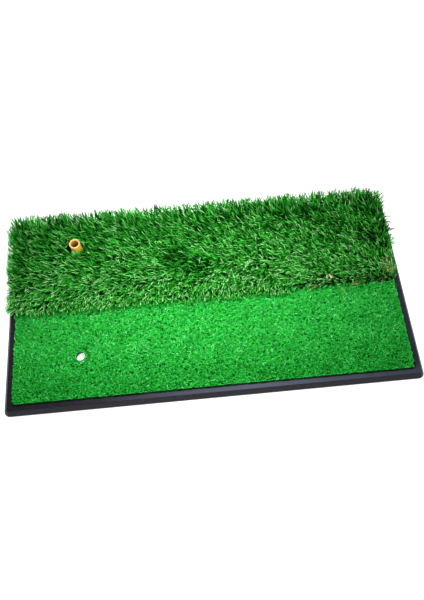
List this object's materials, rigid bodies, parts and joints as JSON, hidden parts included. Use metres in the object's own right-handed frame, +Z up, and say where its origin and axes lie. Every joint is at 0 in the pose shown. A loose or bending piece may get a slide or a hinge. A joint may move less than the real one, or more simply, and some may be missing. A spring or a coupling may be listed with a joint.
{
  "type": "golf hitting mat",
  "caption": "Rectangular rubber golf mat with a short-pile fairway half, a long-pile rough half, a removable hollow rubber tee and a spare tee hole.",
  "frame": {"origin": "on the ground under the middle of the mat", "axes": "+X along the long side, with the tee holes near the -X end; +Y from the fairway half to the rough half; +Z up"},
  "size_m": [0.6, 0.3, 0.056],
  "materials": {
    "base_rubber": "matte moulded black rubber",
    "adhesive": "dried contact glue",
    "latex_coat": "matte latex",
    "backing_cloth": "woven polypropylene tape cloth",
    "fairway_yarn": "short curled polymer yarn, slight sheen",
    "rough_yarn": "long flat polymer blades, satin",
    "thatch_yarn": "curled tan and brown polymer yarn",
    "tee_rubber": "smooth amber rubber, satin"
  },
  "bodies": {
    "mat": {"rubber_base": "base_rubber", "fairway_adhesive": "adhesive", "fairway_coat": "latex_coat", "fairway_backing": "backing_cloth", "fairway_pile": "fairway_yarn", "rough_adhesive": "adhesive", "rough_coat": "latex_coat", "rough_backing": "backing_cloth", "rough_thatch": "thatch_yarn", "rough_pile": "rough_yarn"},
    "tee": {"rubber_tee": "tee_rubber"}
  },
  "joints": [
    {"name": "tee_slide", "type": "slide", "parent": "mat", "child": "tee", "axis": [0, 0, -1], "range_m": [0, 0.06]}
  ]
}
